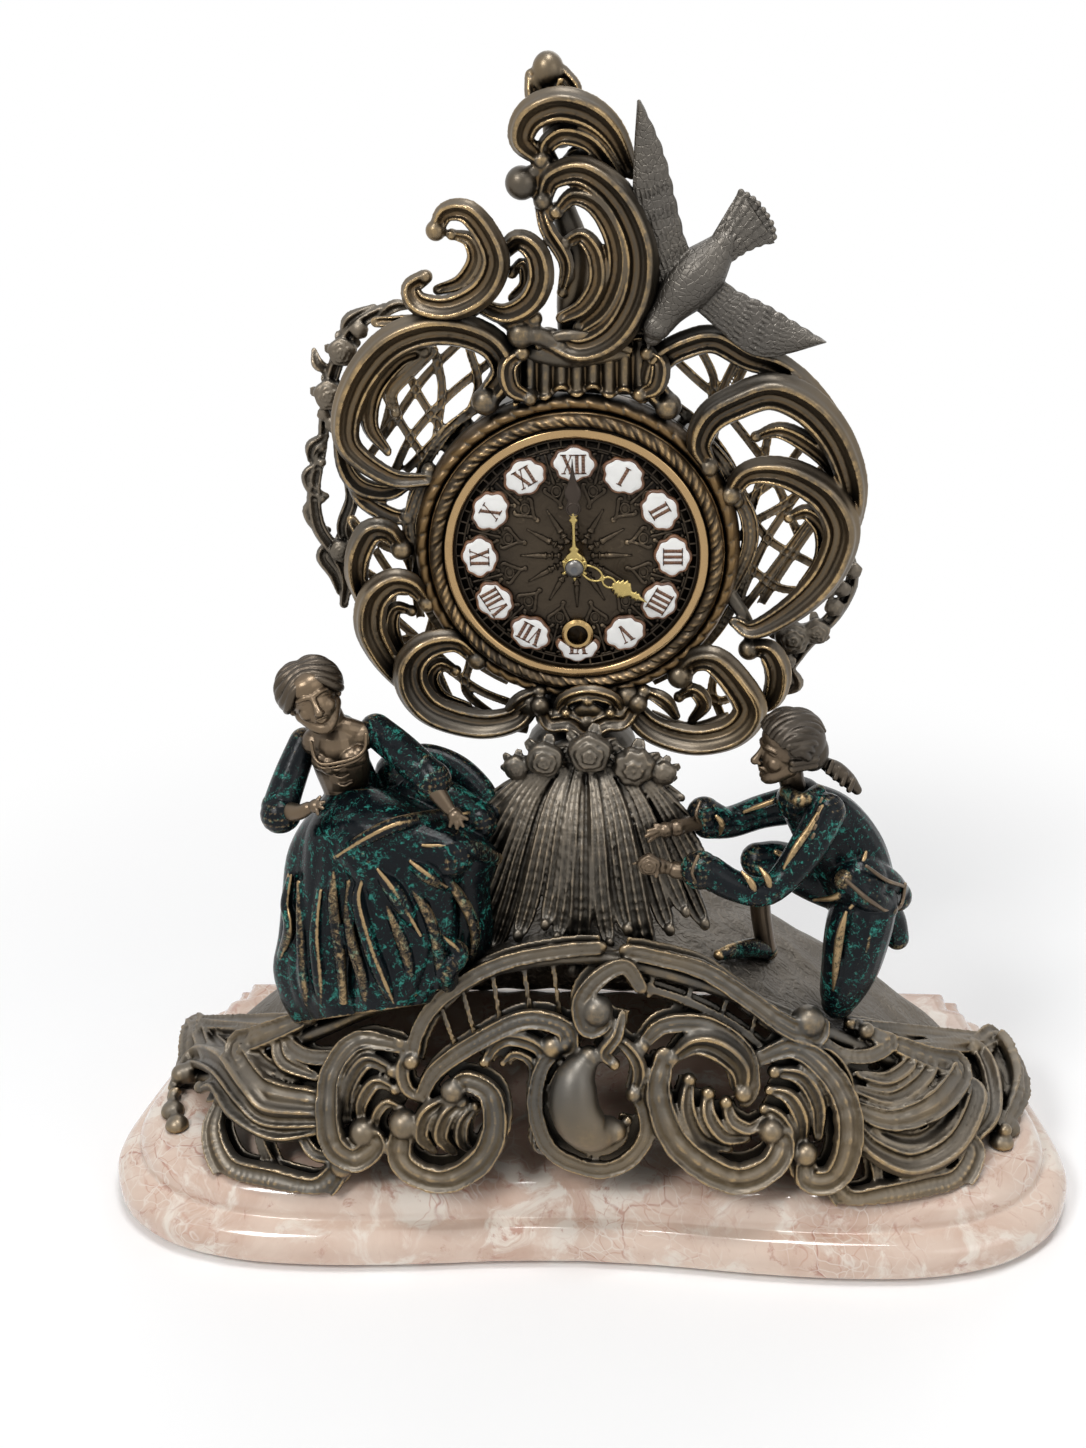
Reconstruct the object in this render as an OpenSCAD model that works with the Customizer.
// Table clock of cast brass on a marble slab: a round case between scrolled wings, on a shell
// pedestal with two seated figures. X runs to the right, Y to the back, Z up, in millimetres.

/* [Marble slab] */
// Width of the slab over its widest place
slab_w = 468; // [440:1:500]
// Depth of the slab
slab_d = 196; // [186:1:210]
// Thickness of the slab
slab_t = 36; // [30:1:42]
// Step of the upper tier inside the lower one
tier_step = 15; // [10:1:18]
// Thickness of the felt pads under the slab
felt_t = 1.5; // [1:0.5:3]
// Radius of a felt pad
felt_r = 16; // [10:1:20]

/* [Base casting] */
// Height of the mound over the slab
hill_h = 116; // [106:1:122]
// Half width of the mound
hill_a = 203; // [196:1:208]
// How far the mound's rim lies in front of the middle
hill_front = 55; // [50:1:58]
// How far the mound reaches back
hill_back = 76; // [72:1:80]
// Wall of the casting
cast_wall = 4; // [3:0.5:5]
// How far the foot of the skirt stands in front of the middle
skirt_front = 86; // [80:1:88]

/* [Head of the clock] */
// Height of the dial's centre above the table
dial_z = 316; // [310:1:322]
// How far the dial's face lies behind the middle of the slab
dial_y = 15; // [11:1:18]
// Outer radius of the ornate ring round the dial
ring_r = 65; // [63:0.5:67]
// Radius of the minute track's outer edge
dial_r = 53.5; // [51:0.5:54.5]
// Outer radius of the case's front flange
flange_r = 72; // [70:0.5:74]
// Inner radius of the case drum
drum_bore = 60; // [59:0.5:61]
// Wall of the case drum
drum_wall = 4; // [3.5:0.5:5]
// Length of the case drum behind the flange
drum_l = 51; // [46:1:56]

/* [Dial] */
// Radius of the circle of numeral plaques
numeral_r = 42.4; // [41:0.2:43]
// Width of a numeral plaque
plaque_w = 18.5; // [16:0.5:19]
// Height of a numeral plaque
plaque_h = 15.5; // [14:0.5:17]
// Thickness of a numeral plaque
plaque_t = 1.6; // [1:0.2:2]
// Length of the minute hand from its axis to its tip
minute_l = 49; // [44:1:51]
// Length of the hour hand from its axis to its tip
hour_l = 36; // [30:1:39]

/* [Movement] */
// Distance from the dial's centre down to the winding arbor
winding_drop = 37; // [36.6:0.1:37.6]
// Width of the winding square over its flats
square_w = 4; // [3:0.25:4.5]
// Thickness of a movement plate
plate_t = 2; // [1.6:0.1:2.2]
// Distance between the movement plates
plate_gap = 20; // [19.6:0.1:21]
// Radius of the front plate
plate_r = 55.8; // [55.4:0.1:56]
// Radius of an arbor between the plates
arbor_r = 0.9; // [0.7:0.05:1]
// Radius of a pivot in its plate
pivot_r = 0.5; // [0.4:0.05:0.6]
// Running clearance of a pivot or pipe, on the radius
running = 0.06; // [0.03:0.01:0.09]
// Radius of the balance wheel's rim
balance_r = 9; // [8:0.5:10]

/* [Figures] */
// Height of the seated lady from hem to hair
lady_h = 190; // [184:1:196]
// Height of the kneeling gentleman from knee to hair
gentleman_h = 160; // [154:1:164]

/* [Hidden] */
$fn = 64;

// How far a cutter runs past the face that it cuts
over = 1;
// Gap left between castings that meet on curved faces
seam = 0.1;
// Gap left between pieces that move past each other
gap = 0.3;

brass = "#b08d4a";
old_brass = "#8a7148";
bronze = "#5a4c3a";
pewter = "#6f6a62";
steel = "#9a9da0";

// Number between a and b at share t
function between(a, b, t) = a + (b - a) * t;
// Power of a number that keeps its sign
function signed_power(value, power) = sign(value) * pow(abs(value), power);
// Table point i, or the end point past either end
function knot(p, i) = p[max(0, min(len(p) - 1, i))];
// Point at share t between table points i and i + 1, on a smooth curve through the table
function smooth_point(p, i, t) = (2 * knot(p, i) + (knot(p, i + 1) - knot(p, i - 1)) * t
  + (2 * knot(p, i - 1) - 5 * knot(p, i) + 4 * knot(p, i + 1) - knot(p, i + 2)) * t * t
  + (3 * knot(p, i) - knot(p, i - 1) - 3 * knot(p, i + 1) + knot(p, i + 2)) * t * t * t) / 2;
// Smooth curve through the table points, with a number of steps between neighbours
function smooth(p, steps) = [for (i = [0:len(p) - 2]) for (s = [0:steps - 1])
  smooth_point(p, i, s / steps), p[len(p) - 1]];

// Closed solid through rings of points, each ring with the same count; an arch is a ring whose
// second half lies under its first half
module loft(rings, arch = false) {
  sides = len(rings[0]);
  last = len(rings) - 1;
  points = [for (ring = rings) for (p = ring) p];
  skin = [for (i = [0:last - 1]) for (j = [0:sides - 1]) let (k = (j + 1) % sides)
    each [[i * sides + j, (i + 1) * sides + j, (i + 1) * sides + k],
      [i * sides + j, (i + 1) * sides + k, i * sides + k]]];
  far = last * sides;
  ends = arch ? [for (j = [0:sides / 2 - 2]) let (k = sides - 1 - j) each [[j, j + 1, k - 1],
      [j, k - 1, k], [far + j, far + k - 1, far + j + 1], [far + j, far + k, far + k - 1]]]
    : [for (j = [1:sides - 2]) each [[0, j, j + 1], [far, far + j + 1, far + j]]];
  polyhedron(points = points, faces = concat(skin, ends), convexity = 10);
}

// Cylinder along Y between two depths, at a place measured from the dial's centre
module rod_y(place, radius, front, back) {
  translate([place.x, back, dial_z + place.y]) rotate([90, 0, 0])
    cylinder(r = radius, h = back - front);
}
// Flat piece drawn across and up from the dial's centre, with its back face at a depth
module plate_y(back, thick, place = [0, 0]) {
  translate([place.x, back, dial_z + place.y]) rotate([90, 0, 0])
    linear_extrude(thick) children();
}
// Turned piece round the dial's axis, from a profile of radius and depth
module turned(profile) {
  translate([0, 0, dial_z]) rotate([90, 0, 0]) rotate_extrude()
    polygon([for (p = profile) [p.x, -p.y]]);
}

// Marble slab: half outline as shares of half the width and half the depth, front to back
slab_outline_shares = [[0, -0.93], [0.16, -0.945], [0.36, -0.985], [0.54, -1], [0.7, -0.975],
  [0.84, -0.88], [0.94, -0.7], [0.99, -0.48], [1, -0.3], [0.985, -0.06], [0.95, 0.3],
  [0.91, 0.7], [0.9, 0.8], [0.87, 0.84], [0.86, 0.97], [0.83, 1], [0.5, 1], [0.2, 1], [0, 1]];
// Edge profile as pairs: inset in shares of the tier step, height in shares of the thickness
slab_edge_shares = [[0.25, 0], [0, 0.14], [0, 0.36], [0.2, 0.5], [0.66, 0.57], [0.78, 0.64],
  [1, 0.84], [1.1, 0.96], [1.3, 1]];
slab_steps = 2;
slab_top = felt_t + slab_t;

function slab_half(inset) = [for (p = smooth(slab_outline_shares, slab_steps))
  [p.x * (slab_w / 2 - inset), p.y * (slab_d / 2 - inset)]];
function slab_ring(inset, z) = let (half = slab_half(inset), n = len(half)) concat(
  [for (i = [0:n - 1]) [half[i].x, half[i].y, z]],
  [for (i = [n - 2:-1:1]) [-half[i].x, half[i].y, z]]);

// Studs through the slab into the casting
stud_r = 3;
stud_x = 0.5 * hill_a;
stud_y = 0.3 * hill_back;
stud_into_cast = 9;
nut_t = 5;
nut_r = 5.5;
washer_t = 1.2;
washer_r = 7.5;
stud_fit = 0.5;
well_r = washer_r + 1.5 * stud_fit;
well_t = nut_t + washer_t + 3 * stud_fit;
stud_places = [[-stud_x, stud_y], [stud_x, stud_y]];

module marble_base() {
  color("#e8cdbf") difference() {
    loft([for (e = slab_edge_shares) slab_ring(e.x * tier_step, felt_t + e.y * slab_t)]);
    for (p = stud_places) {
      translate([p.x, p.y, felt_t - over]) cylinder(r = stud_r + stud_fit, h = slab_t + 2 * over);
      translate([p.x, p.y, felt_t - over]) cylinder(r = well_r, h = well_t + over);
    }
  }
}

felt_x = 0.74 * slab_w / 2;
felt_y = 0.62 * slab_d / 2;
module felt_pads() {
  color("#4d5a45") for (sx = [-1, 1], sy = [-1, 1])
    translate([sx * felt_x, sy * felt_y, 0]) cylinder(r = felt_r, h = felt_t);
}

// Hole of a radius through a depth, with an overrun at both ends
module bore(radius, depth) {
  translate([0, 0, -over]) cylinder(r = radius, h = depth + 2 * over);
}
module base_studs() {
  color(steel) for (p = stud_places) translate([p.x, p.y, felt_t + well_t - washer_t - nut_t])
    cylinder(r = stud_r, h = slab_t - well_t + washer_t + nut_t + stud_into_cast);
}
module base_washers() {
  color(steel) for (p = stud_places) translate([p.x, p.y, felt_t + well_t - washer_t])
    difference() {
      cylinder(r = washer_r, h = washer_t);
      bore(stud_r, washer_t);
    }
}
module base_nuts() {
  color(steel) for (p = stud_places) translate([p.x, p.y, felt_t + well_t - washer_t - nut_t])
    difference() {
      cylinder(r = nut_r, h = nut_t, $fn = 6);
      bore(stud_r, nut_t);
    }
}

// Mound: height over the slab as a share of its full height, at shares across and back
function hill_share(u, y) = (1 - pow(abs(u), 1.6)) * (1 - pow(max(0, min(1,
  (y / max(cast_wall, back_y(u)) - 0.25) / 0.75)), 2.4));
function hill_z(x, y) = slab_top + max(cast_wall, hill_h * hill_share(x / hill_a, y));
function rim_y(u) = -hill_front * sqrt(max(0, 1 - u * u));
function back_y(u) = hill_back * pow(max(0, 1 - pow(abs(u), 3)), 0.5);
hill_columns = 18;
hill_rows = 6;
// Ring across the mound: its top from side to side, then its underside back again
function hill_cut(v) = let (top = [for (i = [0:hill_columns]) let (u = 2 * i / hill_columns - 1,
    w = 0.985 * u, y = between(rim_y(w), back_y(w), v), x = w * hill_a)
    [x, y, hill_z(x, y)]])
  concat(top,
    [for (i = [hill_columns:-1:0]) [top[i].x, top[i].y,
      max(slab_top, top[i].z - cast_wall)]]);

// Skirt: a place on its face from a turn round the foot (0 in front, right is positive) and a
// height share from slab to rim
skirt_bulge = 0.03 * skirt_front;
function foot_x(turn) = (hill_a + cast_wall) * signed_power(sin(turn), 0.75);
function foot_y(turn) = -skirt_front * signed_power(cos(turn), 0.6);
function skirt_place(turn, h) = let (rx = 0.97 * hill_a * signed_power(sin(turn), 0.9),
  ry = -hill_front * signed_power(cos(turn), 0.9), rz = hill_z(rx, ry),
  swell = 1 + skirt_bulge / skirt_front * sin(180 * min(1, h)))
  [between(foot_x(turn), rx, h) * swell, between(foot_y(turn), ry, h) * swell,
    between(slab_top, rz, h)];

// Swept bar along places in space, each with its own radius, flattened away from the face
function unit(v) = v / norm(v);
function sweep_rings(path, out, flat, sides) = [for (i = [0:len(path) - 1])
  let (c = [path[i][0], path[i][1], path[i][2]], r = path[i][3],
    before = knot(path, i - 1), after = knot(path, i + 1),
    run = unit([after[0] - before[0], after[1] - before[1], after[2] - before[2]]),
    side = unit(cross(run, out)), face = cross(run, side))
  [for (k = [0:sides - 1]) let (a = 360 * k / sides)
    c + r * cos(a) * side + flat * r * sin(a) * face]];
sweep_sides = 4;
module sweep(path, out, flat) {
  loft(sweep_rings(path, out, flat, sweep_sides));
}
// Scroll: a swept bar whose first end rolls into a bulb
bulb_sides = 6;
link_sides = 5;
scroll_steps = 2;
module scroll(path, out = [0, 1, 0], flat = 0.9, bulb = 1.15) {
  sweep(smooth(path, scroll_steps), out, flat);
  hull() for (p = [path[0], between(path[0], path[1], 0.2)])
    translate([p[0], p[1], p[2]]) sphere(r = bulb * p[3], $fn = bulb_sides);
}

// Bar through places in space, as a chain of rounded links
module chain(path) {
  for (i = [0:len(path) - 2]) hull() for (p = [path[i], path[i + 1]])
    translate([p[0], p[1], p[2]]) sphere(r = p[3], $fn = link_sides);
}

// Skirt scrolls: turn round the foot in degrees, height share and radius as a share of the height
skirt_scroll_shares = [
  [[0, 0.66, 0.1], [-4, 0.9, 0.07], [-9, 0.98, 0.05], [-15, 0.86, 0.035]],
  [[-3, 0.3, 0.09], [-6, 0.55, 0.07], [-10, 0.3, 0.05], [-7, 0.1, 0.04], [3, 0.08, 0.04],
    [9, 0.3, 0.045], [8, 0.6, 0.04], [3, 0.7, 0.03]],
  [[-9, 0.78, 0.06], [-15, 0.8, 0.055], [-20, 0.55, 0.05], [-22, 0.3, 0.045]],
  [[-12, 0.52, 0.06], [-10, 0.3, 0.05], [-16, 0.12, 0.05], [-23, 0.3, 0.07]],
  [[-27, 0.12, 0.09], [-33, 0.3, 0.06], [-33, 0.7, 0.05], [-26, 1, 0.04]],
  [[-28, 0.05, 0.07], [-36, 0.04, 0.08], [-46, 0.07, 0.08], [-56, 0.3, 0.06],
    [-50, 0.55, 0.05]],
  [[-34, 0.4, 0.06], [-44, 0.3, 0.1], [-54, 0.5, 0.09], [-58, 0.8, 0.07], [-52, 1, 0.05]],
  [[-66, 0.15, 0.09], [-60, 0.4, 0.08], [-56, 0.7, 0.06], [-60, 0.98, 0.05]],
  [[-88, 0.1, 0.12], [-84, 0.6, 0.11], [-76, 1.1, 0.09], [-66, 1.1, 0.06]]];
// Ribs between the rim and the scrolls beneath it
skirt_rib_turns = [-18, -10, 10, 18];
rim_bar = 0.045 * hill_h;
function skirt_path(table, side) = [for (p = table) let (s = skirt_place(side * p[0], p[1]))
  [s.x, s.y, s.z, p[2] * hill_h]];
function rim_point(i) = let (w = 0.985 * (2 * i / hill_columns - 1), x = w * hill_a, y = rim_y(w))
  [x, y, hill_z(x, y) - cast_wall / 2, rim_bar];

module base_skirt() {
  color(old_brass) difference() {
    union() {
      for (side = [-1, 1], table = skirt_scroll_shares) chain(skirt_path(table, side));
      sweep([for (i = [0:hill_columns]) rim_point(i)], [0, 0, 1], 1);
      for (turn = skirt_rib_turns)
        sweep([for (h = [0.62, 1]) let (s = skirt_place(turn, h))
          [s.x, s.y, s.z, rim_bar / 2]], [0, 1, 0], 1);
    }
    translate([-slab_w, -slab_d, slab_top - slab_t]) cube([2 * slab_w, 2 * slab_d, slab_t]);
  }
}
module base_casting() {
  color(old_brass) difference() {
    union() {
      loft([for (j = [0:hill_rows]) hill_cut(j / hill_rows)], arch = true);
      for (p = stud_places) translate([p.x, p.y, slab_top])
        cylinder(r = 2.5 * stud_r, h = hill_z(p.x, p.y) - slab_top - cast_wall / 2, $fn = 16);
      translate([0, pedestal_y, slab_top])
        cylinder(r = 1.6 * rod_r, h = hill_z(0, pedestal_y) - slab_top - cast_wall / 2, $fn = 16);
    }
    translate([0, pedestal_y, slab_top - over])
      cylinder(r = rod_r + seam, h = hill_h + 2 * over, $fn = 24);
  }
}

// Pedestal: a column behind a shell of long leaves
pedestal_y = dial_y + 35;
column_r = 17;
rod_r = 4;
rod_end = drum_bore - plate_r + 2 * gap;
shell_top_z = dial_z - 1.5 * ring_r;
shell_y = -0.12 * skirt_front;
// Shell leaves: tip across and up from the shell's top as shares of the ring radius, half width,
// and how far the tip stands in front of the shell's top
shell_leaf_shares = [[-0.6, -0.08, 0.1, 0.1], [-0.72, -0.4, 0.11, 0.12], [-0.8, -1, 0.12, 0.14],
  [-0.6, -1.4, 0.1, 0.2], [-0.38, -1.28, 0.1, 0.25], [-0.18, -1.34, 0.09, 0.3],
  [0, -1.62, 0.1, 0.34], [0.22, -1.25, 0.09, 0.3], [0.44, -1.52, 0.1, 0.25],
  [0.62, -1.3, 0.1, 0.2], [0.83, -1.05, 0.12, 0.14], [0.8, -0.5, 0.12, 0.12], [0.66, -0.1, 0.1, 0.1]];
shell_flower_shares = [[-0.4, 0.12, 0.14], [-0.22, 0.2, 0.16], [0.05, 0.08, 0.2], [0.3, 0.14, 0.17],
  [0.5, 0.04, 0.14]];
shell_root_shares = [0.3, 0.02, 0.12];
leaf_steps = 2;

module case_room() {
  sides = 48;
  grow = 1 / cos(180 / sides);
  rod = [[(ring_r + seam) * grow, ring_front - over, flange_y], [(flange_r + seam) * grow,
    flange_y - seam, drum_y + seam], [(drum_bore + drum_wall + seam) * grow, drum_y,
      cover_y + 3 * over]];
  for (r = rod) translate([0, r[2], dial_z]) rotate([90, 0, 0])
    cylinder(r = r[0], h = r[2] - r[1], $fn = sides);
}

module shell_pedestal() {
  color(pewter) difference() {
    union() {
      translate([0, pedestal_y, hill_z(0, pedestal_y) - seam])
        cylinder(r1 = 1.5 * column_r, r2 = column_r, h = dial_z - hill_z(0, pedestal_y)
          - 0.8 * drum_bore, $fn = 20);
      for (leaf = shell_leaf_shares) let (root = [shell_root_shares[0] * leaf.x * ring_r,
          shell_y + shell_root_shares[1] * ring_r, shell_top_z],
        tip = [leaf.x * ring_r, shell_y - leaf[3] * ring_r, shell_top_z + leaf.y * ring_r])
        sweep(smooth([[root.x, root.y, root.z, shell_root_shares[2] * ring_r],
          [between(root.x, tip.x, 0.55), tip.y - 0.02 * ring_r,
            between(root.z, tip.z, 0.5), leaf[2] * ring_r],
          [tip.x, tip.y, tip.z, 0.6 * leaf[2] * ring_r]], leaf_steps), [0, -1, 0.3], 0.6);
      for (f = shell_flower_shares) hull() for (d = [0, 0.06])
        translate([f.x * ring_r, shell_y - d * ring_r, shell_top_z + f.y * ring_r])
          sphere(r = f[2] * ring_r, $fn = bulb_sides);
      for (sx = [-1, 1]) hull() {
        translate([sx * 0.3 * ring_r, shell_y + 0.05 * ring_r, shell_top_z])
          sphere(r = 0.14 * ring_r, $fn = 8);
        translate([0, pedestal_y - column_r / 2, shell_top_z + 0.1 * ring_r])
          sphere(r = 0.2 * ring_r, $fn = 8);
      }
      hull() {
        translate([0, shell_y, shell_top_z - 0.4 * ring_r])
          scale([1.7, 0.7, 1]) sphere(r = 0.25 * ring_r, $fn = 12);
        translate([0, pedestal_y - column_r, shell_top_z - 0.9 * ring_r])
          scale([1.4, 0.7, 1]) sphere(r = 0.3 * ring_r, $fn = 12);
      }
      for (side = [-1, 1]) let (x = side * 0.8 * ring_r, z = dial_z - 1.62 * ring_r)
        scroll([for (p = [[0.55, -0.1], [0.2, 0.22], [-0.25, 0.1], [-0.28, -0.15],
          [0.3, -0.3], [1.1, -0.1]]) [x - side * p.x * 0.6 * ring_r, pedestal_y - column_r / 2,
          z + p.y * 0.8 * ring_r, 0.09 * ring_r]], bulb = 1.3);
    }
    case_room();
    translate([0, pedestal_y, slab_top]) cylinder(r = rod_r + seam, h = dial_z, $fn = 24);
    hill_room();
  }
}
// Space that the mound fills, for what stands on it
module hill_room() {
  loft([for (j = [0:hill_rows]) let (cut = hill_cut(j / hill_rows))
    [for (i = [0:len(cut) - 1]) i <= hill_columns ? cut[i] + [0, 0, seam / 2]
      : [cut[i].x, cut[i].y - (j == 0 ? seam : 0), slab_top - over]]], arch = true);
}

module pedestal_rod() {
  color(steel) translate([0, pedestal_y, slab_top + hill_h / 2])
    cylinder(r = rod_r, h = dial_z - drum_bore + rod_end - slab_top - hill_h / 2);
}
module pedestal_nut() {
  color(steel) difference() {
    translate([0, pedestal_y, dial_z - drum_bore + seam]) cylinder(r = 1.8 * rod_r, h = nut_t, $fn = 6);
    translate([0, pedestal_y, dial_z - drum_bore - over]) cylinder(r = rod_r, h = nut_t + rod_end);
    difference() {
      translate([-drum_bore, drum_y, dial_z - flange_r]) cube([2 * drum_bore, drum_l, flange_r / 2]);
      translate([0, drum_y - over, dial_z]) rotate([-90, 0, 0])
        cylinder(r = drum_bore, h = drum_l + 2 * over);
    }
  }
}

// Figures: limbs as chains of [across, back, up, radius] in shares of the figure's height
module limb(table, size, at) {
  for (i = [0:len(table) - 2]) hull() for (p = [table[i], table[i + 1]])
    translate(at + size * [p[0], p[1], p[2]]) sphere(r = size * p[3], $fn = 8);
}
lady_at = [-0.5 * hill_a, -0.55 * hill_front, slab_top + 0.53 * hill_h];
lady_limb_shares = [
  [[-0.03, -0.04, 0.905, 0.075], [-0.035, -0.03, 0.93, 0.08]],
  [[0.03, 0, 0.93, 0.045], [0.05, 0.01, 0.93, 0.04]],
  [[-0.03, -0.02, 0.83, 0.035], [-0.02, -0.01, 0.79, 0.045]],
  [[-0.1, -0.01, 0.755, 0.055], [0.09, 0.01, 0.775, 0.055]],
  [[-0.02, -0.01, 0.72, 0.1], [0.03, 0.03, 0.57, 0.075], [0.1, 0.07, 0.42, 0.16]],
  [[-0.1, -0.01, 0.755, 0.055], [-0.17, -0.06, 0.58, 0.05], [-0.1, -0.16, 0.595, 0.035]],
  [[0.1, 0.01, 0.775, 0.055], [0.19, -0.04, 0.66, 0.05], [0.25, -0.11, 0.565, 0.035]],
  [[0.1, 0.07, 0.4, 0.17], [0.02, -0.12, 0.36, 0.14], [-0.07, -0.1, 0.08, 0.1]],
  [[0.02, -0.1, 0.36, 0.14], [0.12, -0.14, 0.14, 0.11], [0.1, -0.14, 0.05, 0.07]],
  [[0.1, 0.05, 0.4, 0.16], [0.26, -0.08, 0.3, 0.1], [0.24, -0.11, 0.15, 0.07]],
  [[0.1, 0.12, 0.5, 0.1], [0.2, 0.12, 0.64, 0.08], [0.34, 0.06, 0.56, 0.06]],
  [[0, 0.02, 0.4, 0.12], [-0.12, -0.04, 0.15, 0.09], [-0.13, -0.05, 0.05, 0.06]]];
module lady_figure() {
  color("#1f4f49") difference() {
    for (table = lady_limb_shares) limb(table, lady_h, lady_at);
    hill_room();
    shell_room();
  }
}
gentleman_at = [0.58 * hill_a, -0.35 * hill_front, slab_top + 0.56 * hill_h];
gentleman_limb_shares = [
  [[-0.15, -0.02, 0.9, 0.08], [-0.13, -0.01, 0.94, 0.085]],
  [[-0.12, 0, 0.82, 0.05], [-0.06, 0, 0.75, 0.06]],
  [[-0.06, -0.02, 0.93, 0.04], [0.01, -0.02, 0.84, 0.025]],
  [[-0.14, 0.1, 0.76, 0.07], [-0.3, 0.04, 0.67, 0.05], [-0.47, -0.06, 0.58, 0.04],
    [-0.55, -0.09, 0.58, 0.03]],
  [[-0.03, -0.1, 0.7, 0.075], [-0.2, -0.2, 0.44, 0.06], [-0.4, -0.17, 0.5, 0.05],
    [-0.5, -0.15, 0.51, 0.035]],
  [[-0.08, 0.02, 0.68, 0.12], [0.06, 0.02, 0.5, 0.12], [0.08, 0, 0.35, 0.13]],
  [[0.08, 0, 0.34, 0.12], [-0.06, 0.02, 0.42, 0.09], [-0.24, 0.0, 0.38, 0.06]],
  [[-0.24, 0, 0.38, 0.055], [-0.24, -0.03, 0.24, 0.035], [-0.3, -0.08, 0.2, 0.04]],
  [[0.08, -0.02, 0.32, 0.12], [0.03, -0.08, 0.04, 0.075]],
  [[0.03, -0.06, 0.07, 0.07], [0.16, 0.14, 0.1, 0.06], [0.24, 0.22, 0.14, 0.05]],
  [[0.12, 0.04, 0.4, 0.12], [0.16, 0, 0.28, 0.08]]];
module gentleman_figure() {
  color("#1f4f49") difference() {
    for (table = gentleman_limb_shares) limb(table, gentleman_h, gentleman_at);
    hill_room();
    shell_room();
  }
}
// Space round the shell's leaves, for the figures beside them
module shell_room() {
  hull() for (leaf = shell_leaf_shares, t = [0, 0.5, 1])
    translate([between(shell_root_shares[0], 1, t) * leaf.x * ring_r,
      shell_y - min(1, 2 * t) * leaf[3] * ring_r, shell_top_z + t * leaf.y * ring_r])
      sphere(r = 0.13 * ring_r, $fn = 8);
}
figure_places = [[lady_at.x + 0.04 * lady_h, lady_at.y - 0.04 * lady_h],
  [gentleman_at.x + 0.03 * gentleman_h, gentleman_at.y - 0.06 * gentleman_h]];
figure_stud_r = 2;
figure_stud_l = 12;
module figure_studs() {
  color(steel) for (p = figure_places) translate([p.x, p.y, hill_z(p.x, p.y) - cast_wall - nut_t])
    cylinder(r = figure_stud_r, h = figure_stud_l + cast_wall + nut_t);
}

// Case: flange, drum and rear cover
ring_front = dial_y - 1;
flange_y = dial_y + 9;
flange_t = 3;
drum_y = flange_y + flange_t;
cover_y = drum_y + drum_l;
drum_r = drum_bore + drum_wall;
seat_r = plate_r + 2 * gap;
rim_bevel = 0.8;
lug_y = flange_y + plate_t;
lug_t = 4;
lug_w = 10;
lug_in = 10;
lug_angles = [0, 90, 180];
lug_screw_r = 1.25;
lug_hole_r = plate_r - 3;
cover_screw_r = 1.2;
cover_screw_l = 8;
cover_screw_angles = [45, 135, 225, 315];
cover_screw_at = drum_bore + drum_wall / 2;
function polar(r, a) = [r * cos(a), r * sin(a)];

module case_drum() {
  color(pewter) difference() {
    union() {
      turned([[seat_r, flange_y], [flange_r - rim_bevel, flange_y], [flange_r, flange_y + rim_bevel],
        [flange_r, drum_y - rim_bevel], [flange_r - rim_bevel, drum_y], [drum_r, drum_y],
        [drum_r, cover_y], [drum_bore, cover_y], [drum_bore, drum_y], [seat_r, drum_y]]);
      for (a = lug_angles) plate_y(lug_y + lug_t, lug_t)
        rotate(a) translate([drum_bore - lug_in, -lug_w / 2]) square([lug_in + drum_wall / 2,
          lug_w]);
    }
    for (a = lug_angles) rod_y(polar(lug_hole_r, a), lug_screw_r, lug_y - over, lug_y + lug_t + over);
    for (a = cover_screw_angles) rod_y(polar(cover_screw_at, a), cover_screw_r,
      cover_y - cover_screw_l, cover_y + over);
    translate([0, pedestal_y, dial_z - drum_r - over]) cylinder(r = rod_r + seam,
      h = drum_wall + 3 * over);
  }
}
cover_t = 2.5;
module back_cover() {
  color(brass) difference() {
    turned([[0, cover_y], [drum_r, cover_y], [drum_r, cover_y + cover_t], [0, cover_y + cover_t]]);
    for (a = cover_screw_angles) rod_y(polar(cover_screw_at, a), cover_screw_r,
      cover_y - over, cover_y + cover_t + over);
  }
}
module cover_screws() {
  color(steel) for (a = cover_screw_angles) {
    rod_y(polar(cover_screw_at, a), cover_screw_r, cover_y - cover_screw_l,
      cover_y + cover_t);
    rod_y(polar(cover_screw_at, a), 1.9 * cover_screw_r, cover_y + cover_t,
      cover_y + 1.6 * cover_t);
  }
}

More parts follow.
